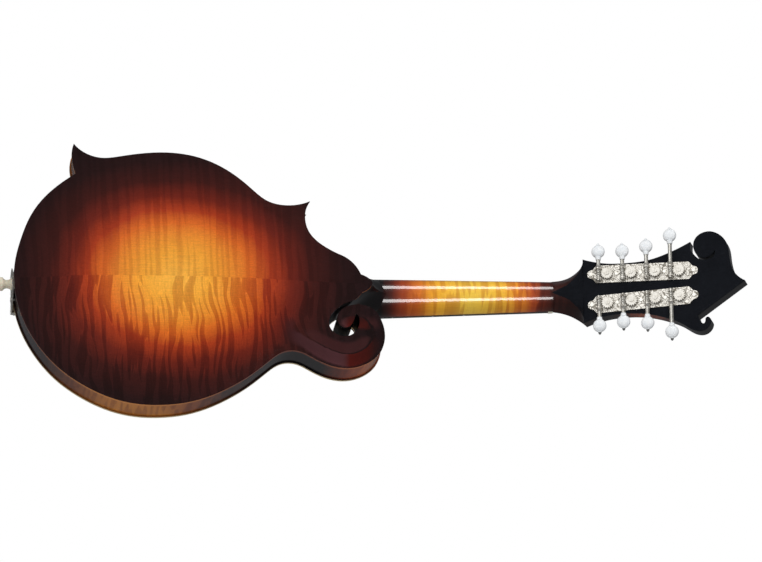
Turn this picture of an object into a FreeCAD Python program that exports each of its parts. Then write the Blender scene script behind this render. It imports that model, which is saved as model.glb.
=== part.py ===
import FreeCAD, Part
import math
import os

V = FreeCAD.Vector

# ---- frame -------------------------------------------------------------------
# X: treble side +, scroll side -.  Y: back +, soundboard -.  Z: up the neck.
# Origin: centre of the strap button's round head.  Lengths in mm, angles in degrees.

# ---- driving dimensions ------------------------------------------------------
TAIL_Z = 12.0            # tail edge of the body above the strap button's centre
RIM_HALF = 22.5          # half the depth of the body at its edges
PLATE_EDGE = 4.0         # thickness of both plates at the edge
RIB_IN = 1.2             # overhang of the plates past the ribs
RIB_THICK = 2.2
LINING_WIDE = 5.0
LINING_HIGH = 6.5
BACK_ARCH = 14.0         # rise of the back above its edge
TOP_ARCH = 15.0          # rise of the soundboard above its edge
ARCH_REACH = 80.0        # softened distance from the edge where the arch is full
RIDGE_HIGH = 4.6         # carved ridge on the scroll
RIDGE_WIDE = 13.0
BINDING_WIDE = 1.5
BINDING_DEEP = 3.0

SCALE = 353.0            # nut to saddle
NECK_PITCH = 5.36        # fingerboard against the rim
HEAD_PITCH = 18.72       # headstock against the rim
NUT_Y = -17.2            # fingerboard surface at the nut
NUT_Z = 524.3
NUT_THICK = 4.8
BOARD_THICK = 5.0
BOARD_AT_NUT = 14.3      # half widths of the fingerboard
BOARD_AT_JOINT = 19.4
JOINT_FRET = 15
FRET_COUNT = 22
NECK_JOINT = 307.7       # height of the neck joint above the tail edge

VENEER_START = 6.0       # lower end of the front veneer, from the nut
VENEER_FRONT = 3.5       # depths behind the nut's datum, square to the headstock
CORE_FRONT = 5.5
CORE_BACK = 17.3
OVERLAY_BACK = 19.0
PLATE_BACK = 20.0        # outer face of the tuner plates
WORM_DEPTH = 22.8        # worm axes

TUNER_FIRST = 62.6       # first post from the nut along the headstock
TUNER_STEP = 23.2
ROWS = {1: (14.0, 11.6), -1: (15.4, 13.6)}   # distance of each row at its first and last post
WORM_OFFSET = 8.1        # worm axis to post axis
GEAR_TEETH = 16
GEAR_TIP = 5.75
GEAR_ROOT = 4.9
GEAR_THICK = 2.4
POST_R = 3.0
SHAFT_R = 1.9
WORM_R = 2.0
LUG_R = 2.9
BUTTON_R = 6.4
BUTTON_HALF = 3.9
BUTTONS_TREBLE = (35.9, 34.6, 37.4, 46.4)   # centres from the middle of the headstock
BUTTONS_BASS = (37.8, 35.6, 38.6, 49.2)

BRIDGE_Z = 172.8
SADDLE_TOP = -54.2
BRIDGE_BASE_TOP = -43.4
SADDLE_DROP = 1.3        # room for the saddle to be lowered
WHEEL_R = 5.2
WHEEL_THICK = 1.9
BRIDGE_POST_X = 33.0
BRIDGE_POST_R = 1.6

PIN_HEAD_R = 6.5
PIN_SHANK_R = 3.6

STRING_R = (0.14, 0.19, 0.33, 0.51)         # highest course to lowest
COURSE_NUT = 7.6                            # course spacing at the nut and the saddle
COURSE_SADDLE = 13.2
PAIR_NUT = 2.2
PAIR_SADDLE = 2.6
HOOK_STEP = 4.1                             # tailpiece pegs, evenly spaced
LOOP_R = 1.5                                # string loops round the pegs
NUT_CLEAR = 1.3                             # strings above the fingerboard at the nut

# ---- body outline, x and height above the tail edge ---------------------------
TAIL_TREBLE = [(0, 0), (18, 1), (38, 6), (58, 13.5), (75, 24), (90, 38.5), (104, 57.5)]
LOWER_POINT_INNER = [(104, 57.5), (114, 55), (124, 54), (134, 56)]
WAIST = [(134, 56), (125.5, 66), (120.5, 82), (122.5, 101), (126, 124), (127, 145), (123.5, 172),
         (111.5, 200.5), (94, 223.5), (80, 241.5), (76.5, 257), (81, 281)]
SHOULDER = [(81, 281), (65, 276.2), (50, 280.2), (38, 291.8), (29, NECK_JOINT)]
HEEL_TREBLE = [(29, NECK_JOINT), (20.8, 321), (9, 329)]
BUTTON_CAP = [(9, 329), (6.5, 334.6), (0.6, 339.8), (-5.6, 335.4), (-8.4, 330)]
HEEL_BASS = [(-8.4, 330), (-14.2, 325.3), (-17.8, 319.5), (-19.6, 314.5), (-24.2, NECK_JOINT)]
SLOT = [(-24.2, NECK_JOINT), (-31.5, 300.4), (-39.5, 298), (-47, 301), (-52, 309), (-51.5, 318),
        (-46, 324.6), (-39, 327), (-33.4, 325.8), (-31.2, 323.6)]
KNOB = [(-31.2, 323.6), (-37.5, 321.4), (-42.8, 317.5), (-43.8, 312.3), (-40.3, 307.4),
        (-34.3, 305.9), (-27.8, 308.9), (-22.8, 316), (-21, 326), (-22.8, 336), (-30, 344.6)]
SCROLL_BACK = [(-30, 344.6), (-43, 350.2), (-57, 350.7), (-70, 345), (-79.3, 333.5), (-84, 317),
               (-82, 300), (-75, 284), (-68, 269), (-68.5, 255.5), (-78, 241), (-90, 226.4),
               (-103.3, 206), (-113.5, 185), (-120, 164), (-123, 140), (-122, 113), (-115, 86.5),
               (-103, 62.5), (-88, 42), (-68, 24), (-45.5, 10.6), (-22, 2.5), (0, 0)]
SCROLL_RIDGE = [(-46, 262), (-60, 285), (-69, 303), (-71.4, 317), (-65, 332), (-52, 339.4),
                (-40, 336), (-33.5, 327), (-33.5, 317)]

# ---- headstock outline, x and distance from the nut ---------------------------
EAR_TREBLE = [(30.6, 38.5), (27.4, 48.5), (24.9, 60), (23.6, 80), (25, 103), (29.2, 118.5),
              (34.4, 132), (39.7, 143.3)]
PRONG = [(39.7, 143.3), (34.6, 142.8), (30.6, 143.7), (27.2, 146.1), (22.4, 150.8), (20.9, 155.2),
         (21.2, 160.2), (22.9, 164.6), (26, 166.5), (29.8, 166.5)]
CURL = [(29.8, 166.5), (26.4, 164.4), (23.9, 161), (22.9, 157), (23.8, 152.9), (26.8, 148.9),
        (31.2, 146.6), (37, 146), (43, 148.3), (46.9, 152.9), (48.6, 158.4), (48.5, 163.4), (46.4, 168.9),
        (42, 174.4), (36.6, 177.9), (30, 179.7), (23.6, 180.3), (15.8, 181.4), (7.9, 184), (1.8, 188.6),
        (-2.6, 194.8)]
HOOK = [(-33.7, 148.7), (-37.2, 149.7), (-40.6, 151.6), (-42.1, 154.2), (-39.9, 155.7), (-37.1, 156.1),
        (-35.9, 158.1), (-37.2, 160.3), (-40.6, 161.2)]
EAR_BASS = [(-40.6, 161.2), (-45.4, 159), (-49, 153.6), (-48.2, 144.9), (-41.6, 134.6), (-34.4, 120),
            (-29, 103), (-26.2, 80), (-27.2, 60), (-29.4, 48.5), (-32.5, 38.5)]
OVERLAY_V = [(30.6, 38.5), (25.4, 37.7), (19.7, 35.6), (12.6, 29.6), (7.4, 23.8), (3.8, 16.5), (0, 8.2)]


def deg(angle):
    return math.radians(angle)


def smooth(points):
    curve = Part.BSplineCurve()
    curve.interpolate(points)
    return curve


def body_edge(points, y=0.0):
    """Curve through points of the body outline, in the plane at height y."""
    return smooth([V(x, y, z + TAIL_Z) for x, z in points]).toShape()


def body_line(a, b, y=0.0):
    return Part.makeLine(V(a[0], y, a[1] + TAIL_Z), V(b[0], y, b[1] + TAIL_Z))


def prism(edges, vector):
    return Part.Face(Part.Wire(edges)).extrude(vector)


def polygon(points, vector):
    wire = Part.makePolygon(points + [points[0]])
    return Part.Face(wire).extrude(vector)


def box(x0, x1, y0, y1, z0, z1):
    return Part.makeBox(x1 - x0, y1 - y0, z1 - z0, V(x0, y0, z0))


def save(name, shape):
    shape.exportStep("parts/" + name + ".step")


def largest(shape):
    return max(shape.Solids, key=lambda s: s.Volume)


# ---- frames of the neck and the headstock -------------------------------------
def neck_at(x, s, n):
    """x across, s from the nut towards the bridge, n behind the fingerboard's surface."""
    a = deg(NECK_PITCH)
    y = NUT_Y - s * math.sin(a) + n * math.cos(a)
    z = NUT_Z - s * math.cos(a) - n * math.sin(a)
    return V(x, y, z)


def head_at(x, s, n):
    """x across, s from the nut up the headstock, n behind the nut's datum."""
    b = deg(HEAD_PITCH)
    y = NUT_Y + s * math.sin(b) + n * math.cos(b)
    z = NUT_Z + s * math.cos(b) - n * math.sin(b)
    return V(x, y, z)


def head_normal(length):
    b = deg(HEAD_PITCH)
    return V(0, length * math.cos(b), -length * math.sin(b))


def neck_normal(length):
    a = deg(NECK_PITCH)
    return V(0, length * math.cos(a), -length * math.sin(a))


def fret_distance(number):
    return SCALE * (1 - 2 ** (-number / 12.0))


def board_half(s):
    grow = (BOARD_AT_JOINT - BOARD_AT_NUT) / fret_distance(JOINT_FRET)
    return BOARD_AT_NUT + grow * s


# ---- body ---------------------------------------------------------------------
def rim_edges(y):
    segments = (TAIL_TREBLE, LOWER_POINT_INNER, WAIST, SHOULDER)
    edges = [body_edge(points, y) for points in segments]
    edges.append(body_line(SHOULDER[-1], SLOT[0], y))
    edges += [body_edge(points, y) for points in (SLOT, KNOB, SCROLL_BACK)]
    return edges


def back_edges(y):
    segments = (TAIL_TREBLE, LOWER_POINT_INNER, WAIST, SHOULDER, HEEL_TREBLE, BUTTON_CAP,
                HEEL_BASS, SLOT, KNOB, SCROLL_BACK)
    return [body_edge(points, y) for points in segments]


def edge_strip(points, inner, outer, y0, y1, extend=0.0):
    """Band along one outline segment, between two insets, with straight ends run on."""
    curve = smooth([V(x, 0, z + TAIL_Z) for x, z in points])
    first, last = curve.FirstParameter, curve.LastParameter
    count = 10 + 3 * len(points)
    sides = []
    for inset in (inner, outer):
        row = []
        for i in range(count + 1):
            u = first + (last - first) * i / count
            p = curve.value(u)
            t = curve.tangent(u)[0]
            normal = V(-t.z, 0, t.x)
            row.append(p + normal * inset + V(0, y0, 0))
            if i == 0:
                start = t
            if i == count:
                end = t
        sides.append((row, start, end))
    (row_a, start, end), row_b = sides[0], sides[1][0]
    edges = [smooth(row_a).toShape()]
    tail_a, tail_b = row_a[-1], row_b[-1]
    head_a, head_b = row_a[0], row_b[0]
    if extend:
        edges.append(Part.makeLine(tail_a, tail_a + end * extend))
        edges.append(Part.makeLine(tail_a + end * extend, tail_b + end * extend))
        edges.append(Part.makeLine(tail_b + end * extend, tail_b))
    else:
        edges.append(Part.makeLine(tail_a, tail_b))
    edges.append(smooth(row_b[::-1]).toShape())
    if extend:
        edges.append(Part.makeLine(head_b, head_b - start * extend))
        edges.append(Part.makeLine(head_b - start * extend, head_a - start * extend))
        edges.append(Part.makeLine(head_a - start * extend, head_a))
    else:
        edges.append(Part.makeLine(head_b, head_a))
    return prism(Part.__sortEdges__(edges), V(0, y1 - y0, 0))


def outline_samples():
    samples = []
    for edge in back_edges(0):
        count = max(3, int(edge.Length / 4))
        step = edge.Length / count
        samples += [(p.x, p.z, step) for p in edge.discretize(count + 1)[:-1]]
    return samples


def soft_distance(x, z, samples):
    """Distance to the outline, rounded where two edges are equally near."""
    total = 0.0
    for px, pz, step in samples:
        r2 = (x - px) ** 2 + (z - pz) ** 2 + 0.05
        total += step / (r2 * r2)
    return (2.0 / math.pi * total) ** (-1.0 / 3.0)


def ridge_samples():
    edge = body_edge(SCROLL_RIDGE)
    return [(p.x, p.z) for p in edge.discretize(60)]


def ridge_height(x, z, ridge):
    """Carved ridge with hollow flanks, fading in where the scroll leaves the arch."""
    best, place = 1e9, 0
    for i, (px, pz) in enumerate(ridge):
        r = math.hypot(x - px, z - pz)
        if r < best:
            best, place = r, i
    if best >= RIDGE_WIDE:
        return 0.0
    fade = min(1.0, place / 14.0)
    return RIDGE_HIGH * fade * (1 - best / RIDGE_WIDE) ** 2


def spaced(breaks):
    """Grid lines between breakpoints given as (start, step) and a final end."""
    lines = []
    for (start, step), (stop, _) in zip(breaks[:-1], breaks[1:]):
        count = max(1, int(round((stop - start) / step)))
        lines += [start + (stop - start) * i / count for i in range(count)]
    return lines + [breaks[-1][0]]


def arch_grid():
    """Heights from 0 to 1 for the arch and in mm for the ridge, on one grid."""
    xs = spaced([(-128, 9), (-92, 2.6), (-16, 9), (144, 0)])
    zs = spaced([(2, 9), (268, 2.6), (368, 0)])
    samples = outline_samples()
    ridge = ridge_samples()
    grid = []
    for x in xs:
        row = []
        for z in zs:
            d = soft_distance(x, z, samples)
            arch = math.sin(math.pi / 2 * min(1.0, d / ARCH_REACH)) ** 2
            rise = 0.0
            if x < -16 and z > 260:
                rise = ridge_height(x, z, ridge)
            row.append((x, z, arch, rise))
        grid.append(row)
    return grid


def arch_solid(grid, base, high, ridge_part, side):
    """Everything on the inner side of one arched surface."""
    poles = []
    for row in grid:
        poles.append([V(x, side * (base + high * arch + ridge_part * rise), z)
                      for x, z, arch, rise in row])
    knots = []
    mults = []
    for count in (len(poles), len(poles[0])):
        inner = count - 3
        knots.append(list(range(inner + 1)))
        mults.append([4] + [1] * (inner - 1) + [4])
    surface = Part.BSplineSurface()
    surface.buildFromPolesMultsKnots(poles, mults[0], mults[1], knots[0], knots[1], False, False, 3, 3)
    return surface.toShape().extrude(V(0, -side * 70.0, 0))


def plate_blank(edges, outer, inner, side):
    start = (RIM_HALF - PLATE_EDGE) * side
    slab = prism(edges, V(0, side * 30.0, 0))
    slab.translate(V(0, start, 0))
    return largest(slab.common(outer).cut(inner))


def halves(shape):
    treble = largest(shape.common(box(0, 160, -90, 90, -5, 400)))
    bass = largest(shape.common(box(-160, 0, -90, 90, -5, 400)))
    return treble, bass


def sound_hole(side):
    """One f-shaped hole: two round eyes joined by a bent slot."""
    top, bottom = -75.0, -20.0
    upper = Part.makeCylinder(4.2, bottom - top, V(side * 41, top, 213), V(0, 1, 0))
    lower = Part.makeCylinder(5.2, bottom - top, V(side * 75, top, 133), V(0, 1, 0))
    inner, outer = [], []
    for i in range(9):
        t = i / 8.0
        x = 46.5 + 23.5 * t + 5.2 * math.sin(2 * math.pi * t)
        z = 216.5 - 87.5 * t
        half = 1.2 + 2.0 * math.sin(math.pi * t)
        inner.append(V(side * (x - half), top, z - half * 0.3))
        outer.append(V(side * (x + half), top, z + half * 0.3))
    edges = [smooth(inner).toShape(), Part.makeLine(inner[-1], outer[-1]),
             smooth(outer[::-1]).toShape(), Part.makeLine(outer[0], inner[0])]
    slot = prism(edges, V(0, bottom - top, 0))
    hook_up = Part.makeBox(6.5, bottom - top, 2.0, V(side * 44.25 - 3.25, top, 215.2))
    hook_low = Part.makeBox(6.0, bottom - top, 2.0, V(side * 72 - 3.0, top, 127.9))
    return slot.fuse([upper, lower, hook_up, hook_low])


def rib_strips(inner, outer, y0, y1, extend):
    return {
        "tail": edge_strip(TAIL_TREBLE, inner, outer, y0, y1, extend),
        "inner": edge_strip(LOWER_POINT_INNER, inner, outer, y0, y1, extend),
        "waist": edge_strip(WAIST, inner, outer, y0, y1, extend),
        "shoulder": edge_strip(SHOULDER, inner, outer, y0, y1, extend),
        "bass": edge_strip(SCROLL_BACK, inner, outer, y0, y1, extend),
    }


def make_ribs():
    y = RIM_HALF - PLATE_EDGE
    wood = rib_strips(RIB_IN, RIB_IN + RIB_THICK, -y, y, 3.2)
    skin = rib_strips(-12.0, RIB_IN, -y - 1, y + 1, 12.0)
    lower = wood["tail"].fuse(wood["inner"])
    lower = lower.cut(skin["waist"]).cut(box(-20, 0, -30, 30, 0, 40))
    waist = wood["waist"].cut(skin["inner"]).cut(lower).cut(skin["shoulder"])
    upper = wood["shoulder"].cut(skin["waist"]).cut(waist)
    upper = upper.cut(box(0, 60, -30, 30, NECK_JOINT + TAIL_Z, 400))
    bass = wood["bass"].cut(box(0, 20, -30, 30, 0, 40)).cut(skin["tail"])
    bass = bass.cut(box(-31.5, -10, -30, 30, 340, 380))
    return largest(lower), largest(waist), largest(upper), largest(bass)


def footprint_block(points, rim, strips, cavity_top, cavity_back):
    """Block filling the body's depth inside the ribs over a footprint."""
    y = 45.0
    block = polygon([V(x, -y, z + TAIL_Z) for x, z in points], V(0, 2 * y, 0))
    block = block.common(rim).common(cavity_top).common(cavity_back)
    return block.cut(strips)


def make_blocks(rim, strips, cavity_top, cavity_back):
    head = footprint_block([(-92, 262), (-58, 256), (-40, 270), (-22, 279), (34, 282), (40, 288),
                            (40, NECK_JOINT), (-24.2, NECK_JOINT), (-21, 312), (-19.9, 318),
                            (-19.9, 324), (-15, 345), (-30, 356), (-92, 356)],
                           rim, strips, cavity_top, cavity_back)
    tail = footprint_block([(-26, -3), (26, -3), (22, 18), (-22, 18)], rim, strips, cavity_top, cavity_back)
    low_point = footprint_block([(99, 58), (134, 50), (136, 60), (122, 84), (110, 80)],
                                rim, strips, cavity_top, cavity_back)
    high_point = footprint_block([(60, 270), (70, 250), (84, 262), (86, 286)],
                                 rim, strips, cavity_top, cavity_back)
    shank = Part.makeCylinder(PIN_SHANK_R, 24.0, V(0, 0, TAIL_Z - 2), V(0, 0, 1))
    head = largest(head)
    tail = largest(tail).cut(shank)
    points = Part.makeCompound([largest(low_point), largest(high_point)])
    return head, tail, points


def make_linings(blocks):
    """Lining strips glued inside the ribs under both plates."""
    inner = RIB_IN + RIB_THICK
    y = RIM_HALF - PLATE_EDGE
    pieces = []
    clear = rib_strips(-12.0, inner, -y - 1, y + 1, 12.0)
    for y0, y1 in ((-y, -y + LINING_HIGH), (y - LINING_HIGH, y)):
        bass = edge_strip(SCROLL_BACK[7:], inner, inner + LINING_WIDE, y0, y1, 0.0)
        lower = edge_strip(TAIL_TREBLE, inner, inner + LINING_WIDE, y0, y1, 0.0)
        waist = edge_strip(WAIST, inner, inner + LINING_WIDE, y0, y1, 0.0)
        upper = edge_strip(SHOULDER, inner, inner + LINING_WIDE, y0, y1, 0.0)
        lower = lower.cut(clear["waist"]).cut(clear["inner"])
        waist = waist.cut(clear["inner"]).cut(clear["shoulder"]).cut(lower)
        upper = upper.cut(clear["waist"]).cut(waist)
        for piece in (bass, lower, waist, upper):
            for block in blocks:
                piece = piece.cut(block)
            pieces.append(largest(piece))
    return Part.makeCompound(pieces)


def make_tone_bars(cavity_top):
    """Two long bars glued under the soundboard either side of the bridge."""
    bars = []
    for x0, x1 in ((-24.0, -31.0), (20.0, 27.0)):
        low, high = 75.0, 268.0
        line = [V(x0 - 3, -60, low), V(x0 + 3, -60, low), V(x1 + 3, -60, high), V(x1 - 3, -60, high)]
        bar = polygon(line, V(0, 60, 0)).common(cavity_top)
        lower = [V(-60, -20.0, low - 1), V(-60, -28.0, 0.5 * (low + high)), V(-60, -20.0, high + 1)]
        arc = Part.Arc(lower[0], lower[1], lower[2]).toShape()
        close = [Part.makeLine(lower[2], V(-60, 30, high + 1)),
                 Part.makeLine(V(-60, 30, high + 1), V(-60, 30, low - 1)),
                 Part.makeLine(V(-60, 30, low - 1), lower[0])]
        hollow = prism([arc] + close, V(120, 0, 0))
        bars.append(largest(bar.cut(hollow)))
    return Part.makeCompound(bars)


def make_binding(rim_prism, plate):
    """Binding strip let into the edge of the soundboard."""
    y1 = -RIM_HALF + BINDING_DEEP
    strips = []
    for points in (TAIL_TREBLE, LOWER_POINT_INNER, WAIST, SHOULDER, SLOT, KNOB, SCROLL_BACK):
        strips.append(edge_strip(points, -1.0, BINDING_WIDE, -RIM_HALF - 3, y1, 0.8))
    band = strips[0].fuse(strips[1:])
    binding = band.common(rim_prism)
    binding = binding.common(box(-200, 200, -RIM_HALF, y1, -10, 400))
    return binding, plate.cut(band)


# ---- neck and headstock ---------------------------------------------------------
def neck_section(place, s, half, depth, top):
    """Half-round neck section: flat under the fingerboard, rounded at the back."""
    a, b = place(half, s, top), place(-half, s, top)
    side_a, side_b = place(half * 0.93, s, top + 0.42 * depth), place(-half * 0.93, s, top + 0.42 * depth)
    low_a, low_b = place(half * 0.58, s, top + 0.85 * depth), place(-half * 0.58, s, top + 0.85 * depth)
    keel = place(0, s, top + depth)
    curve = smooth([a, side_a, low_a, keel, low_b, side_b, b]).toShape()
    return Part.Wire([curve, Part.makeLine(b, a)])


def head_section(s, treble, bass, flat, back):
    """Flare section: the flat back widens into the headstock."""
    top = CORE_FRONT
    deep = back - top
    points = []
    for side, half in ((1, treble), (-1, bass)):
        mid = 0.5 * (half + flat) + 0.16 * (half - flat)
        low = 0.25 * half + 0.75 * flat
        points.append([head_at(side * half, s, top), head_at(side * mid, s, top + 0.5 * deep),
                       head_at(side * low, s, top + 0.9 * deep)])
    curve = smooth(points[0] + [head_at(0, s, back)] + points[1][::-1]).toShape()
    return Part.Wire([curve, Part.makeLine(points[1][0], points[0][0])])


def heel_section(y, grow):
    """Heel outline at one depth: narrow at the button, wide under the fingerboard."""
    base = NECK_JOINT
    tip = 339.8 + grow * 22.0
    half = 8.0 + grow * 7.0
    shoulder = 330.0 + grow * 15.0
    right = [(28.0, base), (20.4 - grow * 1.2, 320.5 + grow * 2), (half, shoulder), (0, tip)]
    left = [(0, tip), (-half, shoulder), (-17.6 - grow * 0.6, 319.5 + grow * 2), (-23.0, base)]
    return Part.Wire([body_edge(right, y), body_edge(left, y), body_line(left[-1], right[0], y)])


def head_face(n, base_line):
    edges = []
    for points in (EAR_TREBLE, PRONG, CURL, HOOK, EAR_BASS):
        edges.append(smooth([head_at(x, s, n) for x, s in points]).toShape())
    edges.append(Part.makeLine(head_at(CURL[-1][0], CURL[-1][1], n), head_at(HOOK[0][0], HOOK[0][1], n)))
    edges += base_line
    return Part.Face(Part.Wire(Part.__sortEdges__(edges)))


def head_slab(n0, n1):
    start, end = EAR_BASS[-1], EAR_TREBLE[0]
    base = [Part.makeLine(head_at(start[0], start[1], n0), head_at(end[0], end[1], n0))]
    return head_face(n0, base).extrude(head_normal(n1 - n0))


def overlay_tool(n0, n1):
    """Headstock outline with the pointed lower end of the back overlay."""
    right = smooth([head_at(x, s, n0) for x, s in OVERLAY_V]).toShape()
    mirror = [(-x * EAR_BASS[-1][0] / -OVERLAY_V[0][0], s) for x, s in OVERLAY_V[::-1]]
    left = smooth([head_at(x, s, n0) for x, s in mirror]).toShape()
    return head_face(n0, [right, left]).extrude(head_normal(n1 - n0))


def veneer_face():
    """Front veneer: the headstock outline carried down to the nut."""
    n = VENEER_FRONT
    treble = ((30.6, 38.5), (26.8, 34.8), (22.3, 30), (18.3, 24), (15.8, 17), (15.0, VENEER_START))
    bass = ((-15.2, VENEER_START), (-18.2, 17), (-21.4, 24), (-25.2, 30), (-28.9, 34.8), (-32.5, 38.5))
    right = smooth([head_at(x, s, n) for x, s in treble]).toShape()
    left = smooth([head_at(x, s, n) for x, s in bass]).toShape()
    line = Part.makeLine(head_at(15.0, VENEER_START, n), head_at(-15.2, VENEER_START, n))
    return head_face(n, [right, line, left])


def post_places():
    """Post axes as (side, number, x, s) with side +1 treble and -1 bass."""
    places = []
    for side in (1, -1):
        for i in range(4):
            row = ROWS[side][0] + (ROWS[side][1] - ROWS[side][0]) * i / 3.0
            places.append((side, i, side * row, TUNER_FIRST + TUNER_STEP * i))
    return places


def along_head(radius, x, s, n0, n1):
    return Part.makeCylinder(radius, n1 - n0, head_at(x, s, n0), head_normal(1.0))


def make_neck(top_outer):
    joint = fret_distance(JOINT_FRET)
    shaft_sections = []
    for s, depth in ((-NUT_THICK, 15.4), (20.0, 15.7), (90.0, 16.8), (160.0, 18.4), (joint + 2.0, 19.5)):
        shaft_sections.append(neck_section(neck_at, s, board_half(s) - 0.1, depth, BOARD_THICK))
    shaft = Part.makeLoft(shaft_sections, True)
    flare = Part.makeLoft([
        head_section(-1.0, 14.3, 14.3, 1.0, 21.0),
        head_section(8.0, 14.9, 15.4, 1.5, 19.2),
        head_section(17.0, 15.8, 18.2, 3.0, OVERLAY_BACK),
        head_section(24.0, 18.3, 21.4, 6.0, OVERLAY_BACK),
        head_section(30.0, 22.3, 25.2, 11.0, OVERLAY_BACK),
        head_section(34.8, 26.8, 28.9, 17.5, OVERLAY_BACK),
        head_section(38.5, 30.6, 32.4, 27.0, OVERLAY_BACK)], True)
    slab = head_slab(CORE_FRONT, OVERLAY_BACK)
    total = flare.fuse(slab)
    front = polygon([head_at(-60, VENEER_START, CORE_FRONT), head_at(60, VENEER_START, CORE_FRONT),
                     head_at(60, 220, CORE_FRONT), head_at(-60, 220, CORE_FRONT)], head_normal(-20))
    tool = overlay_tool(CORE_BACK, OVERLAY_BACK + 4)
    overlay = largest(total.common(tool))
    core = total.cut(tool)
    level = RIM_HALF - PLATE_EDGE
    heel = Part.makeLoft([heel_section(level, 0.0), heel_section(6.0, 0.22), heel_section(-6.0, 0.62),
                          heel_section(-14.0, 1.0), heel_section(-RIM_HALF, 1.1)], True)
    riser = polygon([neck_at(-17, joint - 4, 0), neck_at(17, joint - 4, 0), neck_at(17.5, joint + 46, 0),
                     neck_at(-17.5, joint + 46, 0)], neck_normal(30))
    riser = riser.cut(box(-40, 40, -RIM_HALF, 60, 200, NECK_JOINT + TAIL_Z)).cut(top_outer)
    neck = shaft.fuse([heel, core, riser])
    above = polygon([neck_at(-60, -NUT_THICK, BOARD_THICK), neck_at(60, -NUT_THICK, BOARD_THICK),
                     neck_at(60, joint + 120, BOARD_THICK), neck_at(-60, joint + 120, BOARD_THICK)],
                    neck_normal(-60))
    below = top_outer.common(box(-60, 60, -60, 60, 200, NECK_JOINT + TAIL_Z))
    neck = neck.cut(above).cut(front).cut(below)
    return largest(neck), overlay


def make_headstock_pieces(neck, overlay):
    veneer = veneer_face().extrude(head_normal(CORE_FRONT - VENEER_FRONT))
    bushings = []
    for side, i, x, s in post_places():
        hole = along_head(3.6, x, s, VENEER_FRONT - 3, OVERLAY_BACK + 3)
        wide = along_head(4.4, x, s, VENEER_FRONT - 1, VENEER_FRONT + 5.5)
        neck = neck.cut(hole).cut(wide)
        overlay = overlay.cut(hole)
        veneer = veneer.cut(wide)
        sleeve = along_head(4.4, x, s, VENEER_FRONT, VENEER_FRONT + 5.5)
        flange = along_head(5.4, x, s, VENEER_FRONT - 0.9, VENEER_FRONT)
        bore = along_head(POST_R + 0.06, x, s, VENEER_FRONT - 3, VENEER_FRONT + 8)
        bushings.append(sleeve.fuse(flange).cut(bore))
    return neck, overlay, veneer, Part.makeCompound(bushings)


def make_truss_rod(neck):
    rod = Part.makeCylinder(2.6, 196.0, neck_at(0, 200.0, 11.5), neck_at(0, 0, 0) - neck_at(0, 1, 0))
    channel = Part.makeCylinder(2.6, 196.0, neck_at(0, 200.0, 11.5), neck_at(0, 0, 0) - neck_at(0, 1, 0))
    neck = neck.cut(channel)
    n = VENEER_FRONT
    shape = ((0, 9.0), (7.5, 9.4), (9.4, 15), (7.2, 23), (3.6, 30), (0, 36.5))
    right = smooth([head_at(x, s, n) for x, s in shape]).toShape()
    left = smooth([head_at(-x, s, n) for x, s in shape[::-1]]).toShape()
    cover = prism([right, left], head_normal(-1.6))
    return neck, rod, cover


# ---- fingerboard ----------------------------------------------------------------
def make_fingerboard():
    end = fret_distance(FRET_COUNT) + 4.5
    corners = [neck_at(-board_half(0), 0, 0), neck_at(board_half(0), 0, 0),
               neck_at(board_half(end), end, 0), neck_at(-board_half(end), end, 0)]
    board = polygon(corners, neck_normal(BOARD_THICK))
    frets = []
    for number in range(1, FRET_COUNT + 1):
        s = fret_distance(number)
        half = board_half(s) - 0.3
        a, b, c = neck_at(-half, s - 0.6, 0), neck_at(-half, s, -0.95), neck_at(-half, s + 0.6, 0)
        crown = Part.Face(Part.Wire([Part.Arc(a, b, c).toShape(), Part.makeLine(c, a)]))
        frets.append(crown.extrude(V(2 * half, 0, 0)))
    dots = []
    for number in (5, 7, 10, 12, 15):
        s = 0.5 * (fret_distance(number) + fret_distance(number - 1))
        across = (-9.0, 9.0) if number == 12 else (0.0,)
        for x in across:
            dots.append(Part.makeCylinder(2.6, 1.5, neck_at(x, s, 0), neck_normal(1.0)))
        for k in across:
            place = s + (0.0 if number != 12 else 0.22 * k)
            out = -(board_half(place) - 1.5)
            dots.append(Part.makeCylinder(0.85, 1.55, neck_at(out, place, 2.5), V(-1, 0, 0)))
    for dot in dots:
        board = board.cut(dot)
    return board, Part.makeCompound(frets), Part.makeCompound(dots)


def make_nut():
    top = -2.0
    half = board_half(0) + 0.1
    profile = [neck_at(-half, 0, BOARD_THICK), neck_at(-half, 0, top), neck_at(-half, -2.6, top + 0.35),
               neck_at(-half, -NUT_THICK, top + 1.9), neck_at(-half, -NUT_THICK, BOARD_THICK)]
    return polygon(profile, V(2 * half, 0, 0))


# ---- strings --------------------------------------------------------------------
def string_places():
    places = []
    for course in range(4):
        radius = STRING_R[course]
        for pair in (0.5, -0.5):
            x_nut = (1.5 - course) * COURSE_NUT + pair * PAIR_NUT
            x_saddle = (1.5 - course) * COURSE_SADDLE + pair * PAIR_SADDLE
            x_tail = (1.5 - course) * 2 * HOOK_STEP + pair * HOOK_STEP
            places.append((x_nut, x_saddle, x_tail, radius))
    return places


def string_line(x_nut, x_saddle, x_tail, r):
    """Corner points of one string's axis: nut, saddle, tailpiece."""
    nut = neck_at(x_nut, -0.2, -NUT_CLEAR - r)
    saddle = V(x_saddle, SADDLE_TOP - r, BRIDGE_Z)
    hook = V(x_tail, -38.2, 42.0)
    return nut, saddle, hook


def segment(a, b, radius):
    return Part.makeCylinder(radius, (b - a).Length, a, b - a)


def string_order():
    """Post used by each string, treble row first then bass row."""
    posts = {}
    for side, i, x, s in post_places():
        posts[(side, i)] = (x, s)
    return [posts[(1, 0)], posts[(1, 1)], posts[(1, 2)], posts[(1, 3)],
            posts[(-1, 3)], posts[(-1, 2)], posts[(-1, 1)], posts[(-1, 0)]]


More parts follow.
